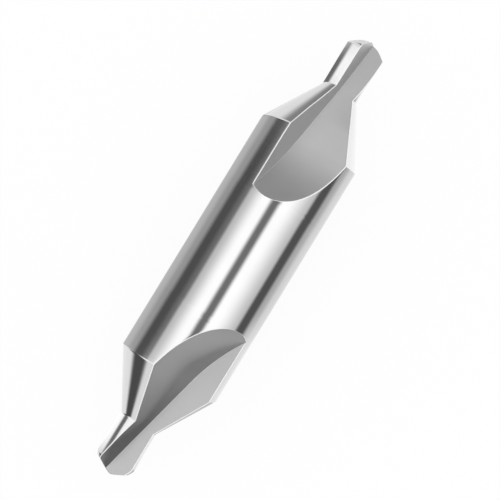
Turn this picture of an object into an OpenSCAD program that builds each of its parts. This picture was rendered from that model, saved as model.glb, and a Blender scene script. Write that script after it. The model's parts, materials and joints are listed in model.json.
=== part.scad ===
// Double-ended centre drill: a pilot drill and a 60 degree countersink on each end of one bar.
// The axis lies along X, with the origin in the middle of the body and +Z up.

/* [Body] */
// Diameter of the cylindrical body
body_d = 15; // [13:0.5:18]
// Length over both points
overall_length = 69; // [66:0.5:80]

/* [Cone] */
// Full angle of the countersink cone
cone_angle = 60; // [55:1:75]
// Radial drop of the cone's land from its cutting edge to its heel
cone_relief = 0.43; // [0.2:0.01:0.7]

/* [Pilot] */
// Diameter of the pilot at its cutting corners
pilot_d = 6; // [5.5:0.1:7]
// Diameter of the pilot where it meets the cone
pilot_root_d = 5.9; // [5.2:0.1:6.5]
// Length of the pilot from its cutting corners to the cone
pilot_length = 6.5; // [5:0.1:8]
// Radial drop of the pilot's land from its cutting edge to its heel
pilot_relief = 0.2; // [0.1:0.01:0.4]

/* [Point] */
// Full angle of the cone that each flank is ground to
point_angle = 120; // [110:1:135]
// Distance from the drill's axis to the axis of each flank, which drops the heel behind the lip
flank_offset = 1; // [0.6:0.05:1.3]
// Turn of the chisel edge from the lips
chisel_turn = 25; // [20:1:45]
// Radial depth of the broken corner between lip and pilot
corner_break = 0.35; // [0.1:0.05:0.6]
// Angle of the broken corner from the axis
corner_break_angle = 30; // [20:1:40]

/* [Flutes] */
// Length of a flute from the tip to where its cutting edge runs out on the body
flute_length = 25.3; // [22:0.1:28]
// Thickness of the web between the two cutting faces
web = 0.6; // [0.4:0.05:1.2]
// Distance that the flute's root passes beyond the axis at the cutting corners
root_overlap = 0.32; // [0:0.01:0.5]
// Rise of the flute's floor towards the body
floor_slope = 14.4; // [12:0.1:17]
// Angle between the cutting face and the floor
flute_angle = 110; // [100:1:118]
// Diameter of the cutter that leaves the run-out
cutter_d = 56; // [46:1:70]

/* [Ends] */
// Turn of the cutting edges at the +X end, from +Y up
edge_turn = 60; // [0:1:180]
// Turn from the cutting edges at the +X end to those at the -X end
end_clocking = 95; // [0:1:180]

/* [Hidden] */
$fn = 180;

body_r = body_d / 2;
pilot_r = pilot_d / 2;
pilot_root_r = pilot_root_d / 2;
cutter_r = cutter_d / 2;
face_y = web / 2;

// Length by which a cutting tool stands clear of the metal it takes away
clear = 2;

// Heights along the axis, from the middle of the body to the tip
tip_z = overall_length / 2;
flank_slope = tan(point_angle / 2);
flank_apex_z = tip_z + flank_offset / flank_slope;
flank_axis = flank_offset * [-sin(chisel_turn), cos(chisel_turn)];
corner_xy = [sqrt(pow(pilot_r, 2) - pow(face_y, 2)), face_y];
corner_z = flank_apex_z - norm(corner_xy - flank_axis) / flank_slope;
cone_end_z = corner_z - pilot_length;
cone_slope = tan(cone_angle / 2);
shoulder_z = cone_end_z - (body_r - pilot_root_r) / cone_slope;
pilot_taper = (pilot_r - pilot_root_r) / pilot_length;

// The lands are parted by a plane that passes through the middle of both flutes
parting_turn = flute_angle / 2;

// A land is round about an axis of its own, shifted along the parting plane
function land_shift(relief) = relief / (2 * cos(parting_turn));
function land_axis(relief) = land_shift(relief) * [cos(parting_turn), sin(parting_turn), 0];

// Depth along the axis within which the relieved cone comes out of the body
relief_depth = (cone_relief / 2 + land_shift(cone_relief)) / cone_slope;
land_start_z = shoulder_z - 2 * relief_depth;

// The cutter's centre, in the plane of the cutting face, as [distance from the axis, height].
// Its rim follows the sloping floor until it leaves the body at the end of the cutting edge.
feed = [sin(floor_slope), -cos(floor_slope)];
floor_normal = [cos(floor_slope), sin(floor_slope)];
feed_start = [-root_overlap, corner_z] + cutter_r * floor_normal;
run_out = [sqrt(pow(body_r, 2) - pow(face_y, 2)), tip_z - flute_length];
to_run_out = run_out - feed_start;
feed_travel = to_run_out * feed
    - sqrt(pow(to_run_out * feed, 2) - to_run_out * to_run_out + pow(cutter_r, 2));
cutter_centre = feed_start + feed_travel * feed;

// The rim is bevelled, so that the floor leans away from the cutting face
cutter_w = 2 * body_r;
rim_bevel = atan(tan(flute_angle - 90) * cos(floor_slope));
rim_gain = cutter_w * tan(rim_bevel);

// A round cone about Z, whose tip would lie at apex_z, between two heights
module cone_between(z0, z1, apex_z, slope) {
    translate([0, 0, z0])
        cylinder(h = z1 - z0, r1 = (apex_z - z0) * slope, r2 = (apex_z - z1) * slope);
}

// The point: two flanks ground to cones beside the axis, with the outer corners broken
module point_form() {
    base_z = cone_end_z - clear;
    break_slope = tan(corner_break_angle);
    break_apex_z = corner_z + (pilot_r - corner_break) / break_slope;
    intersection() {
        cone_between(base_z, break_apex_z, break_apex_z, break_slope);
        translate(flank_axis)
            cone_between(base_z, flank_apex_z, flank_apex_z, flank_slope);
        translate(-flank_axis)
            cone_between(base_z, flank_apex_z, flank_apex_z, flank_slope);
    }
}

// The outside of one land: relieved cone, relieved pilot with back taper, and point.
// Cone and pilot are turned so that the seams of their round faces lie away from the land.
module land_form() {
    cone_apex_z = cone_end_z + (pilot_root_r - cone_relief / 2) / cone_slope;
    translate(land_axis(cone_relief))
        rotate(parting_turn + 180)
            cone_between(land_start_z - clear, cone_apex_z, cone_apex_z, cone_slope);
    intersection() {
        translate([0, 0, cone_end_z - clear] + land_axis(pilot_relief))
            rotate(parting_turn + 180)
                cylinder(
                    h = tip_z - cone_end_z + 2 * clear,
                    r1 = pilot_root_r - pilot_relief / 2 - clear * pilot_taper,
                    r2 = pilot_r - pilot_relief / 2 + (tip_z - corner_z + clear) * pilot_taper
                );
        point_form();
    }
}

// What is ground away outside one land, on its side of the parting plane
module land_cut() {
    difference() {
        rotate(parting_turn)
            translate([-body_d, -body_d, land_start_z])
                cube([2 * body_d, body_d, tip_z + clear - land_start_z]);
        land_form();
    }
}

// What the cutter takes out of one flute: a straight pass along the floor, then the run-out,
// which is the quarter of the cutter that looks back along the feed and down into the bar
module flute_cut() {
    pass_length = feed_travel + (tip_z - corner_z) + body_d;
    translate([cutter_centre[0], 0, cutter_centre[1]])
        rotate([0, -floor_slope, 0]) {
            linear_extrude(pass_length)
                polygon([
                    [-cutter_r, face_y],
                    [0, face_y],
                    [0, face_y + cutter_w],
                    [-cutter_r - rim_gain, face_y + cutter_w]
                ]);
            intersection() {
                translate([0, face_y, 0])
                    rotate([-90, 0, 0])
                        cylinder(h = cutter_w, r1 = cutter_r, r2 = cutter_r + rim_gain);
                translate([-cutter_d, 0, -cutter_d]) cube(cutter_d);
            }
        }
}

// All the grinding on the end that points up, with its cutting edges towards +X and -X
module end_cuts() {
    for (turn = [0, 180])
        rotate(turn) {
            land_cut();
            flute_cut();
        }
}

// The second end is the first one turned over about a line across the bar
module drill_on_z() {
    turn_over_axis = edge_turn + end_clocking / 2;
    difference() {
        cylinder(h = overall_length, d = body_d, center = true);
        rotate(edge_turn) end_cuts();
        rotate(a = 180, v = [cos(turn_over_axis), sin(turn_over_axis), 0])
            rotate(edge_turn) end_cuts();
    }
}

module centre_drill() {
    color("silver")
        rotate([90, 0, 90]) drill_on_z();
}

centre_drill();
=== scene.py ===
import json
import math

import bmesh
import bpy
import numpy as np
from mathutils import Matrix, Vector


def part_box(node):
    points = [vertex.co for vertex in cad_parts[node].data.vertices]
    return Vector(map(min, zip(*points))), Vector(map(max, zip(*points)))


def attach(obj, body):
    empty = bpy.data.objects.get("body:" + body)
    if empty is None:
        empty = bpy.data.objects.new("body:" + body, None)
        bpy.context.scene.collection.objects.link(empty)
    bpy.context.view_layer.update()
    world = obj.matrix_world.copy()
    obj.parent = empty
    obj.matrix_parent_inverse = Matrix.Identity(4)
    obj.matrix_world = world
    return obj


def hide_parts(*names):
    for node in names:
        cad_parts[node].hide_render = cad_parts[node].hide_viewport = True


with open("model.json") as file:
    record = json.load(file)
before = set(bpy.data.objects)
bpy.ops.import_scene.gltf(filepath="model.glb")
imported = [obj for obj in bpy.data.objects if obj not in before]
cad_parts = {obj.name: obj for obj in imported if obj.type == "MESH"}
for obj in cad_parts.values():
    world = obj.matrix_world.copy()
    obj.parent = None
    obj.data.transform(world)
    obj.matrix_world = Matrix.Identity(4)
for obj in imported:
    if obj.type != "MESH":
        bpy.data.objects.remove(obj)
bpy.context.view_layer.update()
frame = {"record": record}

# The bar and its lands. A double-ended centre drill is ground out of one bar of high-speed steel.
# What is left of the bar's outside between two flutes is a land: body, 60 degree cone and pilot,
# each backed off behind its cutting edge by grinding it round an axis beside the drill's own.
MM = 0.001
tip_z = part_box("centre_drill")[1].x / MM
body_r = frame["record"]["mounts"][0]["dims"]["r_mm"]
pilot_r = 3.0
pilot_root_r = 2.95
pilot_length = 6.5
pilot_relief = 0.2
cone_slope = math.tan(math.radians(30))
cone_relief = 0.43
flute_angle = math.radians(110)
parting_turn = flute_angle / 2
web = 0.6
face_y = web / 2
edge_blend = 0.05

flank_slope = math.tan(math.radians(60))
flank_offset = 1.0
flank_swell = 0.0
swell_scale = 2.6
heel_turns = (0, 60, 95, 150)
chisel_turn = math.radians(25)
flank_axis = (-flank_offset * math.sin(chisel_turn), flank_offset * math.cos(chisel_turn))
flank_apex_z = tip_z + flank_offset / flank_slope
corner_x = math.sqrt(pilot_r**2 - face_y**2)
corner_reach = math.hypot(corner_x - flank_axis[0], face_y - flank_axis[1])
corner_z = flank_apex_z - corner_reach / flank_slope
corner_break = 0.35
break_slope = math.tan(math.radians(30))

cone_end_z = corner_z - pilot_length
shoulder_z = cone_end_z - (body_r - pilot_root_r) / cone_slope
pilot_taper = (pilot_r - pilot_root_r) / pilot_length
cone_apex_z = cone_end_z + (pilot_root_r - cone_relief / 2) / cone_slope
cone_shift = cone_relief / (2 * math.cos(parting_turn))
pilot_shift = pilot_relief / (2 * math.cos(parting_turn))


def blend_min(a, b, width):
    """The smaller of two, with the corner between them rounded over."""
    overlap = max(width - abs(a - b), 0) / width
    return min(a, b) - overlap * overlap * width / 4


def eccentric_radius(turn, shift, radius):
    """Distance from the drill's axis to a circle centred beside it, on the plane that parts the lands."""
    off = turn - parting_turn
    return shift * math.cos(off) + math.sqrt(max(radius**2 - (shift * math.sin(off)) ** 2, 0))


def land_radius(turn, z):
    """Distance from the axis to the outside of the land that is cut by the edge at turn 0."""
    cone = eccentric_radius(turn, cone_shift, max((cone_apex_z - z) * cone_slope, cone_shift))
    pilot_here = pilot_root_r - pilot_relief / 2 + (z - cone_end_z) * pilot_taper
    pilot = eccentric_radius(turn, pilot_shift, pilot_here)
    outside = -blend_min(-cone, -pilot, edge_blend)
    broken = pilot_r - corner_break + (corner_z - z) * break_slope
    outside = blend_min(outside, broken, 4 * edge_blend)
    return blend_min(outside, body_r, edge_blend)


def on_land(turn, z):
    radius = land_radius(turn, z)
    return radius * math.cos(turn), radius * math.sin(turn)


# The flutes. Each is one pass of a bevelled grinding wheel: its flat side leaves the cutting face,
# its rim leaves a floor that rises towards the body, and where the wheel stops it leaves the
# scooped run-out on the body.
cutter_r = 28.0
floor_slope = math.radians(14.4)
root_overlap = 0.32
flute_length = 25.3
rim_skew = 0.0
rim_bevel = math.tan(flute_angle - math.pi / 2) * math.cos(floor_slope)
edge_round = 0.085
root_round = 0.05

run_out = (math.sqrt(body_r**2 - face_y**2), tip_z - flute_length)
feed = (math.sin(floor_slope), -math.cos(floor_slope))
feed_start = (
    -root_overlap + cutter_r * math.cos(floor_slope),
    corner_z + cutter_r * math.sin(floor_slope),
)
to_end = (run_out[0] - feed_start[0], run_out[1] - feed_start[1])
end_on_feed = to_end[0] * feed[0] + to_end[1] * feed[1]
feed_travel = end_on_feed - math.sqrt(end_on_feed**2 - to_end[0] ** 2 - to_end[1] ** 2 + cutter_r**2)
cutter_x = feed_start[0] + feed_travel * feed[0]
cutter_z = feed_start[1] + feed_travel * feed[1]


def floor_x(y, z):
    """Where the flute's floor lies, square to the cutting edge, at a height over the axis."""
    rim = cutter_r + (y - face_y) * rim_bevel
    drop = z - cutter_z - rim_skew * (y - face_y)
    if drop >= -rim * math.sin(floor_slope):
        return cutter_x - (rim + drop * math.sin(floor_slope)) / math.cos(floor_slope)
    return cutter_x - math.sqrt(rim**2 - drop**2)


def crossing(inside_test, a, b):
    """The value between a and b where a test that holds at a stops holding."""
    for _ in range(60):
        middle = (a + b) / 2
        if inside_test(middle):
            a = middle
        else:
            b = middle
    return (a + b) / 2


def deepest_y(z):
    """The point of the floor nearest the axis, as its height over the axis."""
    low, high = face_y, body_r
    for _ in range(80):
        first, second = low + (high - low) / 3, high - (high - low) / 3
        if math.hypot(floor_x(first, z), first) < math.hypot(floor_x(second, z), second):
            high = second
        else:
            low = first
    return (low + high) / 2


def cuts_body(z):
    y = deepest_y(z)
    return math.hypot(floor_x(y, z), y) < body_r


flute_end_z = crossing(cuts_body, run_out[1], 0.0)


def flute_corners(z):
    """The turn of the cutting edge, the heights of root and heel, and whether the face is cut here."""
    edge_turn_here = 0.0
    for _ in range(8):
        edge_turn_here = math.asin(face_y / land_radius(edge_turn_here, z))
    root_y = face_y
    has_face = floor_x(face_y, z) < on_land(edge_turn_here, z)[0]
    deep_y = face_y if has_face else deepest_y(z)

    def inside(y):
        x = floor_x(y, z)
        return math.hypot(x, y) < land_radius(math.atan2(y, x) - math.pi, z)

    if not has_face:
        root_y = crossing(inside, deep_y, face_y) if z > flute_end_z else deep_y
        edge_turn_here = math.atan2(root_y, floor_x(root_y, z))
    heel_y = crossing(inside, deep_y, 2 * body_r) if z > flute_end_z else deep_y
    return edge_turn_here, root_y, heel_y, has_face


def between(a, b, share):
    return a[0] + (b[0] - a[0]) * share, a[1] + (b[1] - a[1]) * share


def rounded(before, corner, after, count):
    """Points of a small curve that takes the sharpness off a corner."""
    points = []
    for n in range(count):
        share = n / (count - 1)
        points.append(between(between(before, corner, share), between(corner, after, share), share))
    return points


edge_points = 5
floor_points = 20
land_points = 56
face_points = (10, 10)


def half_outline(z, face_shares):
    """Half of the drill's outline across the axis: cutting edge, face, root, floor, heel and land."""
    edge, root_y, heel_y, has_face = flute_corners(z)
    corner = on_land(edge, z)
    root = (floor_x(root_y, z), root_y) if has_face else corner
    heel = (floor_x(heel_y, z), heel_y)
    heel_turn = math.atan2(heel[1], heel[0])
    radius = math.hypot(*corner)
    face_w = math.dist(corner, root)
    floor_w = max(math.dist(root, heel), 1e-9)
    land_cut = min(edge_round, 0.3 * (heel_turn - edge) * radius) / radius
    face_cut = min(edge_round, 0.3 * face_w) / max(face_w, 1e-9)
    root_cut = min(root_round, 0.3 * face_w, 0.3 * floor_w)
    heel_cut = min(edge_round, 0.3 * floor_w) / floor_w

    def on_floor(share):
        y = root_y + (heel_y - root_y) * share
        return floor_x(y, z), y

    def on_next_land(turn):
        x, y = on_land(turn - math.pi, z)
        return -x, -y

    face_start = between(corner, root, face_cut)
    face_stop = between(root, corner, root_cut / max(face_w, 1e-9))
    floor_start = root_cut / floor_w
    points = rounded(on_land(edge - land_cut, z), corner, face_start, edge_points)
    points += [between(face_start, face_stop, share) for share in face_shares]
    points += rounded(face_stop, root, on_floor(floor_start), edge_points)
    for n in range(1, floor_points + 1):
        points.append(on_floor(floor_start + (1 - heel_cut - floor_start) * n / (floor_points + 1)))
    points += rounded(on_floor(1 - heel_cut), heel, on_next_land(heel_turn + land_cut), edge_points)
    land_start, land_stop = heel_turn + land_cut, edge - land_cut + math.pi
    for n in range(1, land_points + 1):
        points.append(on_next_land(land_start + (land_stop - land_start) * n / (land_points + 1)))
    return points


def flank_z(x, y):
    """Height of the point's surface: two ground cones, each beside the axis, swelling near the heel."""
    first = math.hypot(x - flank_axis[0], y - flank_axis[1])
    second = math.hypot(x + flank_axis[0], y + flank_axis[1])
    share = min(max((math.hypot(x, y) - face_y) / (pilot_r - face_y), 0), 1)
    past_chisel = math.degrees((math.atan2(y, x) - chisel_turn) % math.pi)
    near_heel = float(np.interp(past_chisel, heel_turns, (0, 1, 1, 0)))
    swell = swell_scale * flank_swell * near_heel * math.sqrt(share) * (1 - share)
    return flank_apex_z - max(first, second) / flank_slope + swell


# One column of the face ends on the chisel edge, where the two flanks meet.
chisel_end = (face_y / math.tan(chisel_turn), face_y)
chisel_z = flank_z(*chisel_end)
chisel_edge_x = on_land(flute_corners(chisel_z)[0], chisel_z)[0] - edge_round
chisel_root_x = floor_x(face_y, chisel_z) + root_round
chisel_share = (chisel_edge_x - chisel_end[0]) / (chisel_edge_x - chisel_root_x)
face_shares = [chisel_share * n / face_points[0] for n in range(1, face_points[0] + 1)]
face_shares += [
    chisel_share + (1 - chisel_share) * n / (face_points[1] + 1) for n in range(1, face_points[1] + 1)
]
half_count = len(half_outline(shoulder_z, face_shares))


def whole_outline(z):
    half = half_outline(z, face_shares)
    return half + [(-x, -y) for x, y in half]


def steps(a, b, count):
    return [a + (b - a) * n / count for n in range(count)]


shoulder_zone = (shoulder_z - 1.15, shoulder_z + 0.25)
junction_zone = (cone_end_z - 0.75, cone_end_z + 0.25)
rim_base_z = corner_z - 1.1
over_tip_z = tip_z + 0.1
run_out_rows = 20
level_rows = (
    (run_out[1], shoulder_zone[0], 28),
    (shoulder_zone[0], shoulder_zone[1], 36),
    (shoulder_zone[1], junction_zone[0], 16),
    (junction_zone[0], junction_zone[1], 26),
    (junction_zone[1], rim_base_z, 12),
)
climb_samples = 140
climb_rows = 26


def end_rows():
    """Rows of points up one end. Above the last level row each column climbs to the point's rim."""
    run_out_h = run_out[1] - flute_end_z
    heights = [flute_end_z + run_out_h * (n / run_out_rows) ** 2 for n in range(run_out_rows)]
    for low, high, count in level_rows:
        heights += steps(low, high, count)
    rows = [[(x, y, z) for x, y in whole_outline(z)] for z in heights]
    climb_z = np.linspace(rim_base_z, over_tip_z, climb_samples)
    climb = np.array([whole_outline(z) for z in climb_z])
    columns = []
    for column in range(2 * half_count):
        xy = climb[:, column, :]
        over = climb_z - np.array([flank_z(x, y) for x, y in xy])
        last = int(np.argmax(over > 0))
        share = over[last - 1] / (over[last - 1] - over[last])
        rim_z = climb_z[last - 1] + share * (climb_z[last] - climb_z[last - 1])
        column_z = rim_base_z + (rim_z - rim_base_z) * np.linspace(0, 1, climb_rows + 1)
        columns.append([
            (float(np.interp(z, climb_z, xy[:, 0])), float(np.interp(z, climb_z, xy[:, 1])), float(z))
            for z in column_z
        ])
    return rows + [[columns[c][n] for c in range(2 * half_count)] for n in range(climb_rows + 1)]


vertices = []
faces = []
face_materials = []
LAND, FACE, FLANK, EDGE, FLOOR = 0, 1, 2, 3, 4
chisel_points = 8
flank_middle = 1.2
ring_shares = (0.03, 0.2, 0.45, 0.7)
floor_column = 2 * edge_points + len(face_shares) - 1
heel_column = floor_column + 1 + floor_points


def column_material(column):
    """What the strip after a column of the outline is made of."""
    if column < edge_points - 1 or heel_column <= column < heel_column + edge_points - 1:
        return EDGE
    if column >= heel_column:
        return LAND
    return FACE if column < floor_column else FLOOR


def add_end(rows, place):
    """Adds one end of the drill, and returns the vertices of its first row."""
    start = len(vertices)
    count = 2 * half_count
    for row in rows:
        vertices.extend(place(p) for p in row)
    for r in range(len(rows) - 1):
        for c in range(count):
            nxt = (c + 1) % count
            a = start + r * count
            faces.append((a + c, a + nxt, a + count + nxt, a + count + c))
            face_materials.append(column_material(c % half_count))
    top = start + (len(rows) - 1) * count
    chisel_column = edge_points + face_points[0] - 1
    for side in (0, 1):
        sign = 1 - 2 * side
        first = chisel_column + (1 - side) * half_count
        loop = [top + (first + n) % count for n in range(half_count + 1)]
        loop_xy = [rows[-1][i - top][:2] for i in loop]
        for n in range(1, chisel_points):
            share = 1 - 2 * n / chisel_points
            x, y = sign * chisel_end[0] * share, sign * chisel_end[1] * share
            loop_xy.append((x, y))
            loop.append(len(vertices))
            vertices.append(place((x, y, flank_z(x, y))))
        middle = (sign * flank_middle, 0.0)
        ring = loop
        for share in ring_shares:
            inner = []
            for xy in loop_xy:
                x, y = between(xy, middle, share)
                inner.append(len(vertices))
                vertices.append(place((x, y, flank_z(x, y))))
            for n in range(len(ring)):
                nxt = (n + 1) % len(ring)
                faces.append((ring[n], ring[nxt], inner[nxt], inner[n]))
                face_materials.append(FLANK)
            ring = inner
        hub = len(vertices)
        vertices.append(place((middle[0], middle[1], flank_z(*middle))))
        for n in range(len(ring)):
            faces.append((ring[n], ring[(n + 1) % len(ring)], hub))
            face_materials.append(FLANK)
    pole = half_count - land_points
    halves = (0, half_count)
    return [start + h + n for h in halves for n in [pole - 1] + list(range(pole, half_count))]


# The photographed +X end turns slowly towards its tip, its flanks swell out a little near the heels,
# and its corners are hardly broken.
twist_z = (17.0, 22.0, 26.6, 34.0)
twist = (0.0, math.radians(1.2), math.radians(5.3), math.radians(8.0))
edge_turn = math.radians(60)
end_clocking = math.radians(95)
turn_over = 2 * edge_turn + end_clocking


def place_first(p):
    angle = math.atan2(p[1], p[0]) + edge_turn + float(np.interp(p[2], twist_z, twist))
    reach = math.hypot(p[0], p[1])
    return p[2] * MM, reach * math.cos(angle) * MM, reach * math.sin(angle) * MM


def place_second(p):
    angle = turn_over - (math.atan2(p[1], p[0]) + edge_turn)
    reach = math.hypot(p[0], p[1])
    return -p[2] * MM, reach * math.cos(angle) * MM, reach * math.sin(angle) * MM


second_ring = add_end(end_rows(), place_second)
corner_break = 0.12
flank_swell = 0.36
rim_skew = 0.085
flute_end_z = crossing(cuts_body, run_out[1], 0.0)
first_ring = add_end(end_rows(), place_first)


def ring_angle(i):
    return math.atan2(vertices[i][2], vertices[i][1])


def apart(i, j):
    return abs((ring_angle(i) - ring_angle(j) + math.pi) % (2 * math.pi) - math.pi)


offset = min(range(len(second_ring)), key=lambda k: apart(first_ring[0], second_ring[k]))
for n in range(len(first_ring)):
    nxt = (n + 1) % len(first_ring)
    j, k = (offset - n) % len(second_ring), (offset - n - 1) % len(second_ring)
    faces.append((first_ring[n], first_ring[nxt], second_ring[k], second_ring[j]))
    face_materials.append(LAND)

drill_mesh = bpy.data.meshes.new("ground_drill")
drill_mesh.from_pydata(vertices, [], faces)
drill_mesh.polygons.foreach_set("material_index", face_materials)
merge_distance = 0.5e-6
work = bmesh.new()
work.from_mesh(drill_mesh)
bmesh.ops.remove_doubles(work, verts=work.verts, dist=merge_distance)
bmesh.ops.dissolve_degenerate(work, edges=work.edges, dist=merge_distance)
bmesh.ops.recalc_face_normals(work, faces=work.faces)
for face in work.faces:
    face.smooth = True
work.to_mesh(drill_mesh)
work.free()
drill = bpy.data.objects.new("ground_drill", drill_mesh)
scene = bpy.context.scene
scene.collection.objects.link(drill)
weighted = drill.modifiers.new("even_shading", "WEIGHTED_NORMAL")
weighted.mode = "FACE_AREA"
weighted.weight = 50
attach(drill, "root")
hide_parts("centre_drill")


# The finish. Bright high-speed steel, with the body, cones and pilots ground round and polished.
# The wheel leaves faint rings round the axis, the flutes keep the fine lines of a rougher wheel
# that ran along them, and the honed edges carry a painted highlight, near white and mostly not metal.
def steel_finish(name, colour, roughness, spread, grain, bump_height, painted_shade_stops=((0.0, 1.0),)):
    """Steel with fine lines, and painted shade that darkens it along the drill as (x in mm, share of the
    colour).
    """
    material = bpy.data.materials.new(name)
    material.use_nodes = True
    nodes = material.node_tree.nodes
    links = material.node_tree.links
    shader = nodes["Principled BSDF"]
    shader.inputs["Metallic"].default_value = 1.0
    where = nodes.new("ShaderNodeTexCoord")
    stretch = nodes.new("ShaderNodeMapping")
    stretch.inputs["Scale"].default_value = grain
    links.new(where.outputs["Object"], stretch.inputs["Vector"])
    lines = nodes.new("ShaderNodeTexNoise")
    lines.inputs["Scale"].default_value = 1.0
    lines.inputs["Detail"].default_value = 4.0
    lines.inputs["Roughness"].default_value = 0.6
    links.new(stretch.outputs["Vector"], lines.inputs["Vector"])
    rough_map = nodes.new("ShaderNodeMapRange")
    rough_map.inputs["From Min"].default_value = 0.3
    rough_map.inputs["From Max"].default_value = 0.7
    rough_map.inputs["To Min"].default_value = roughness - spread
    rough_map.inputs["To Max"].default_value = roughness + spread
    links.new(lines.outputs["Fac"], rough_map.inputs["Value"])
    links.new(rough_map.outputs["Result"], shader.inputs["Roughness"])
    clouds = nodes.new("ShaderNodeTexNoise")
    clouds.inputs["Scale"].default_value = 220.0
    clouds.inputs["Detail"].default_value = 3.0
    links.new(where.outputs["Object"], clouds.inputs["Vector"])
    tone = nodes.new("ShaderNodeValToRGB")
    tone.color_ramp.elements[0].position = 0.3
    tone.color_ramp.elements[1].position = 0.7
    tone.color_ramp.elements[0].color = (*(c * 0.98 for c in colour), 1.0)
    tone.color_ramp.elements[1].color = (*(c * 1.02 for c in colour), 1.0)
    links.new(clouds.outputs["Fac"], tone.inputs["Fac"])
    place_x = nodes.new("ShaderNodeSeparateXYZ")
    links.new(where.outputs["Object"], place_x.inputs["Vector"])
    along_x = nodes.new("ShaderNodeMapRange")
    along_x.inputs["From Min"].default_value = -tip_z * MM
    along_x.inputs["From Max"].default_value = tip_z * MM
    links.new(place_x.outputs["X"], along_x.inputs["Value"])
    # Painted shade: a ramp along x that darkens the colour between the given stops.
    painted_shade_ramp = nodes.new("ShaderNodeValToRGB")
    stops = painted_shade_ramp.color_ramp.elements
    stops.remove(stops[1])
    for n, (x, share) in enumerate(painted_shade_stops):
        stop = stops[0] if n == 0 else stops.new(1.0)
        stop.position = 0.5 + x / (2 * tip_z)
        stop.color = (share, share, share, 1.0)
    links.new(along_x.outputs["Result"], painted_shade_ramp.inputs["Fac"])
    toned = nodes.new("ShaderNodeMix")
    toned.data_type = "RGBA"
    toned.blend_type = "MULTIPLY"
    toned.inputs["Factor"].default_value = 1.0
    links.new(tone.outputs["Color"], toned.inputs["A"])
    links.new(painted_shade_ramp.outputs["Color"], toned.inputs["B"])
    links.new(toned.outputs["Result"], shader.inputs["Base Color"])
    bump = nodes.new("ShaderNodeBump")
    bump.inputs["Strength"].default_value = 1.0
    bump.inputs["Distance"].default_value = bump_height
    links.new(lines.outputs["Fac"], bump.inputs["Height"])
    links.new(bump.outputs["Normal"], shader.inputs["Normal"])
    return material


land_colour = (0.70, 0.70, 0.70)
drill_mesh.materials.append(
    steel_finish("polished_land", land_colour, 0.09, 0.015, (9000.0, 60.0, 60.0), 0.2e-6)
)
flute_colour = (0.55, 0.55, 0.55)
flute_grain = (150.0, 7000.0, 7000.0)
drill_mesh.materials.append(
    steel_finish("ground_face", flute_colour, 0.38, 0.04, flute_grain, 0.4e-6)
)
flank_colour = (0.65, 0.65, 0.65)
drill_mesh.materials.append(
    steel_finish("ground_flank", flank_colour, 0.3, 0.04, (5000.0, 5000.0, 200.0), 0.4e-6)
)
# Painted highlight: the honed edges are near white and mostly not metal, so they show as bright lines.
edge_highlight_colour = (0.95, 0.95, 0.95)
honed = steel_finish("honed_edge_painted_highlight", edge_highlight_colour, 0.4, 0.04, (800.0, 800.0, 800.0), 0.2e-6)
honed.node_tree.nodes["Principled BSDF"].inputs["Metallic"].default_value = 0.2
drill_mesh.materials.append(honed)
floor_colour = (0.6, 0.6, 0.6)
# Painted shade: the floors at the -X end are painted darker towards the tip.
floor_painted_shade = ((-27, 0.56), (-18, 1.0))
drill_mesh.materials.append(
    steel_finish("ground_floor", floor_colour, 0.38, 0.04, flute_grain, 0.4e-6, floor_painted_shade)
)

# The floor. A sheet of white paper that the drill lies on, matt and evenly lit by a white room.
# It keeps the drill's soft shadow, and the steel mirrors the lower half of the tent in its place.
scene.view_settings.view_transform = "Standard"
world = bpy.data.worlds.new("white_room")
scene.world = world
world.use_nodes = True
world.node_tree.nodes["Background"].inputs["Color"].default_value = (1.0, 1.0, 1.0, 1.0)
world.node_tree.nodes["Background"].inputs["Strength"].default_value = 1.0


def stage_sheet(name, rows):
    """A sheet of the studio from rows of points, each as (x, y, z, grey)."""
    across_count = len(rows[0])
    points = [p[:3] for row in rows for p in row]
    quads = []
    for r in range(len(rows) - 1):
        for c in range(across_count - 1):
            corner = r * across_count + c
            quads.append((corner, corner + 1, corner + across_count + 1, corner + across_count))
    mesh = bpy.data.meshes.new(name)
    mesh.from_pydata(points, [], quads)
    greys = mesh.attributes.new("grey", "FLOAT", "POINT")
    greys.data.foreach_set("value", [p[3] for row in rows for p in row])
    sheet = bpy.data.objects.new(name, mesh)
    scene.collection.objects.link(sheet)
    return sheet


floor_half = 0.6
white_share = 0.92
floor_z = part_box("centre_drill")[0].z
floor = stage_sheet(
    "paper_floor",
    [[(x, y, floor_z, 1.0) for x in (-floor_half, floor_half)] for y in (-floor_half, floor_half)],
)
floor.visible_glossy = False
paper = bpy.data.materials.new("white_paper")
paper.use_nodes = True
paper_nodes = paper.node_tree.nodes
paper_links = paper.node_tree.links
paper_shader = paper_nodes["Principled BSDF"]
paper_shader.inputs["Base Color"].default_value = (0.97, 0.97, 0.97, 1.0)
paper_shader.inputs["Roughness"].default_value = 1.0
paper_shader.inputs["Specular IOR Level"].default_value = 0.0
paper_path = paper_nodes.new("ShaderNodeLightPath")
seen_or_mirrored = paper_nodes.new("ShaderNodeMath")
seen_or_mirrored.operation = "MAXIMUM"
seen_at_all = paper_nodes.new("ShaderNodeMath")
seen_at_all.operation = "MAXIMUM"
paper_share = paper_nodes.new("ShaderNodeMath")
paper_share.operation = "MULTIPLY"
paper_share.inputs[1].default_value = white_share
paper_white = paper_nodes.new("ShaderNodeEmission")
paper_white.inputs["Color"].default_value = (1.0, 1.0, 1.0, 1.0)
paper_mix = paper_nodes.new("ShaderNodeMixShader")
paper_links.new(paper_path.outputs["Is Camera Ray"], seen_or_mirrored.inputs[0])
paper_links.new(paper_path.outputs["Is Glossy Ray"], seen_or_mirrored.inputs[1])
paper_links.new(seen_or_mirrored.outputs["Value"], seen_at_all.inputs[0])
paper_links.new(paper_path.outputs["Is Transmission Ray"], seen_at_all.inputs[1])
paper_links.new(seen_at_all.outputs["Value"], paper_share.inputs[0])
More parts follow.
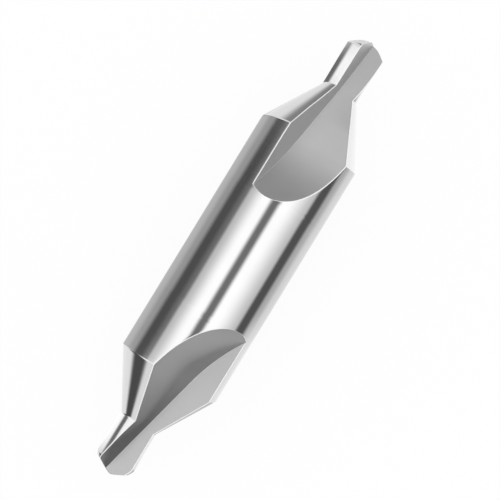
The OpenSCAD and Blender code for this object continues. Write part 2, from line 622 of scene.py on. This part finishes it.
paper_links.new(paper_share.outputs["Value"], paper_mix.inputs["Fac"])
paper_links.new(paper_shader.outputs["BSDF"], paper_mix.inputs[1])
paper_links.new(paper_white.outputs["Emission"], paper_mix.inputs[2])
paper_links.new(paper_mix.outputs["Shader"], paper_nodes["Material Output"].inputs["Surface"])
floor.data.materials.append(paper)

# The light tent. White cloth all round the table, lit from above and open to the lens at the top,
# with black flags low on both sides. White cards stand past the drill's two ends. Turns go round the
# drill from straight up towards +Y, and leans towards +X, in degrees.
all_along = (-90, 90)
past_low_end = (-90, -14)
by_drill = (-13, 12)
by_low_pilot = (-12.2, -9.2)
by_body = (-8.2, 7.6)
by_top_pilot = (8.4, 11.2)
past_top_end = (13, 90)
cloth_turns = np.linspace(-180.0, 180.0, 241)
cloth_leans = np.linspace(-78.0, 78.0, 157)
cloth_grey = 0.7
cloth_greys = np.full((len(cloth_turns), len(cloth_leans)), cloth_grey)


def soft_share(values, limits, edges):
    """1 between two limits, and falling to 0 over a soft edge on either side."""
    ends = (limits[0] - edges[0], limits[0], limits[1], limits[1] + edges[1])
    share = np.interp(values, ends, (0, 1, 1, 0))
    return share * share * (3 - 2 * share)


def hang(grey, turns, turn_edges, leans, lean_edge=1.2):
    """Hangs a card or flag over what hangs in the tent already."""
    over_turns = soft_share(cloth_turns, turns, turn_edges)
    over_leans = soft_share(cloth_leans, leans, (lean_edge, lean_edge))
    cloth_greys[:] += np.outer(over_turns, over_leans) * (grey - cloth_greys)


# The cloth overhead, and low on both sides the paper floor as the steel mirrors it, with painted shade
# making the +Y side darker
hang(0.88, (-200, -100), (1, 30), all_along)
hang(0.6, (100, 200), (30, 1), all_along)
hang(1.42, (-27, 18), (50, 33), all_along)

# Cards beside the two pilots
hang(1.15, (-200, -118), (1, 8), by_low_pilot)
hang(1.35, (18, 200), (10, 1), by_low_pilot)
hang(1.25, (-200, -116), (1, 8), by_top_pilot)
hang(1.42, (18, 200), (10, 1), by_top_pilot)
hang(0.18, (114, 200), (31, 1), by_top_pilot)

# Cards and a flag past the low end, then past the top end
hang(0.65, (-200, -98), (1, 8), past_low_end)
hang(0.9, (-118, -99), (8, 6), (-38, -15), 4)
hang(0.22, (-91, -30), (7, 35), past_low_end)
hang(0.25, (-114, -91), (8, 8), (-90, -44), 3)
hang(0.97, (5, 70), (20, 10), past_low_end)
hang(1.2, (5, 60), (20, 10), (-40, -14), 5)
hang(1.02, (110, 200), (10, 1), past_low_end)

hang(1.0, (-200, 200), (1, 1), past_top_end)
hang(1.2, (-150, -114), (30, 15), past_top_end)
hang(0.75, (-98, -60), (10, 30), past_top_end)
hang(0.3, (-5, 97), (40, 36), (48, 90), 14)

# The opening for the lens, then the flags on both sides
hang(0.21, (-9, -1), (10, 10.5), by_drill)
hang(0.55, (-108, -80), (24, 9), by_drill)
hang(1.0, (-200, -110), (1, 8), (-9.2, -5), 2)
hang(0.11, (-94, -80), (12, 9), by_drill)
hang(0.42, (58, 108), (8, 24), by_body)
hang(0.2, (60, 90), (8, 14), by_body)
hang(0.1, (76, 87), (16, 8), by_body)
hang(0.18, (73, 87), (13, 20), by_low_pilot)
hang(0.09, (85, 109), (13, 15), past_low_end)

tent_r = 2.0
tent_rows = [
    [
        (
            tent_r * math.tan(math.radians(lean)),
            tent_r * math.sin(math.radians(turn)),
            tent_r * math.cos(math.radians(turn)),
            grey,
        )
        for lean, grey in zip(cloth_leans.tolist(), greys)
    ]
    for turn, greys in zip(cloth_turns.tolist(), cloth_greys.tolist())
]
tent = stage_sheet("light_tent", tent_rows)


def glowing(name):
    """A lit sheet, as bright as its greys say."""
    material = bpy.data.materials.new(name)
    material.use_nodes = True
    nodes = material.node_tree.nodes
    nodes.remove(nodes["Principled BSDF"])
    grey = nodes.new("ShaderNodeAttribute")
    grey.attribute_name = "grey"
    glow = nodes.new("ShaderNodeEmission")
    material.node_tree.links.new(grey.outputs["Fac"], glow.inputs["Color"])
    material.node_tree.links.new(glow.outputs["Emission"], nodes["Material Output"].inputs["Surface"])
    return material


def only_mirrored(sheet):
    """Leaves a sheet to be seen in the steel alone."""
    sheet.visible_camera = False
    sheet.visible_diffuse = False
    sheet.visible_shadow = False


cloth = glowing("tent_cloth")
tent.data.materials.append(cloth)
only_mirrored(tent)

# The shade under the body, where no light reaches the paper: a strip just over the floor, dark along
# the line where the body touches it. It is seen in the steel alone, like the tent.
shade_z = floor_z + 0.00005
shade_x = 0.019
shade_rows = [
    [(x, y, shade_z, grey) for x in (-shade_x, shade_x)]
    for y, grey in ((-0.008, 0.7), (-0.005, 0.3), (0.0, 0.1), (0.005, 0.3), (0.008, 0.7))
]
shade = stage_sheet("contact_shade", shade_rows)
shade.data.materials.append(cloth)
only_mirrored(shade)

# The camera looks straight down on the drill, turned so that the axis rises to the upper right.
# Its place and lens were fitted to the outlines in the photo.
axis_rise = math.radians(58.588)
near_end_tilt = math.radians(0.0147)
roll = math.radians(0.449)
camera_distance = 0.1589
focal_px = 1160.8
image_px = 500
sensor = 36.0
aim_right = 0.001396
aim_up = 0.001036
along = Vector((math.cos(near_end_tilt), 0.0, -math.sin(near_end_tilt)))
back = Vector((math.sin(near_end_tilt), 0.0, math.cos(near_end_tilt)))
across = Vector((0.0, -1.0, 0.0))
turn = Matrix.Rotation(roll, 3, "X")
along, back, across = turn @ along, turn @ back, turn @ across
right = math.cos(axis_rise) * along + math.sin(axis_rise) * across
up = math.sin(axis_rise) * along - math.cos(axis_rise) * across
camera_data = bpy.data.cameras.new("photo_camera")
camera_data.sensor_width = sensor
camera_data.lens = sensor * focal_px / image_px
camera_data.clip_start = 0.005
camera = bpy.data.objects.new("photo_camera", camera_data)
scene.collection.objects.link(camera)
place = back * camera_distance + right * aim_right + up * aim_up
camera.matrix_world = Matrix.Translation(place) @ Matrix((right, up, back)).transposed().to_4x4()
scene.camera = camera
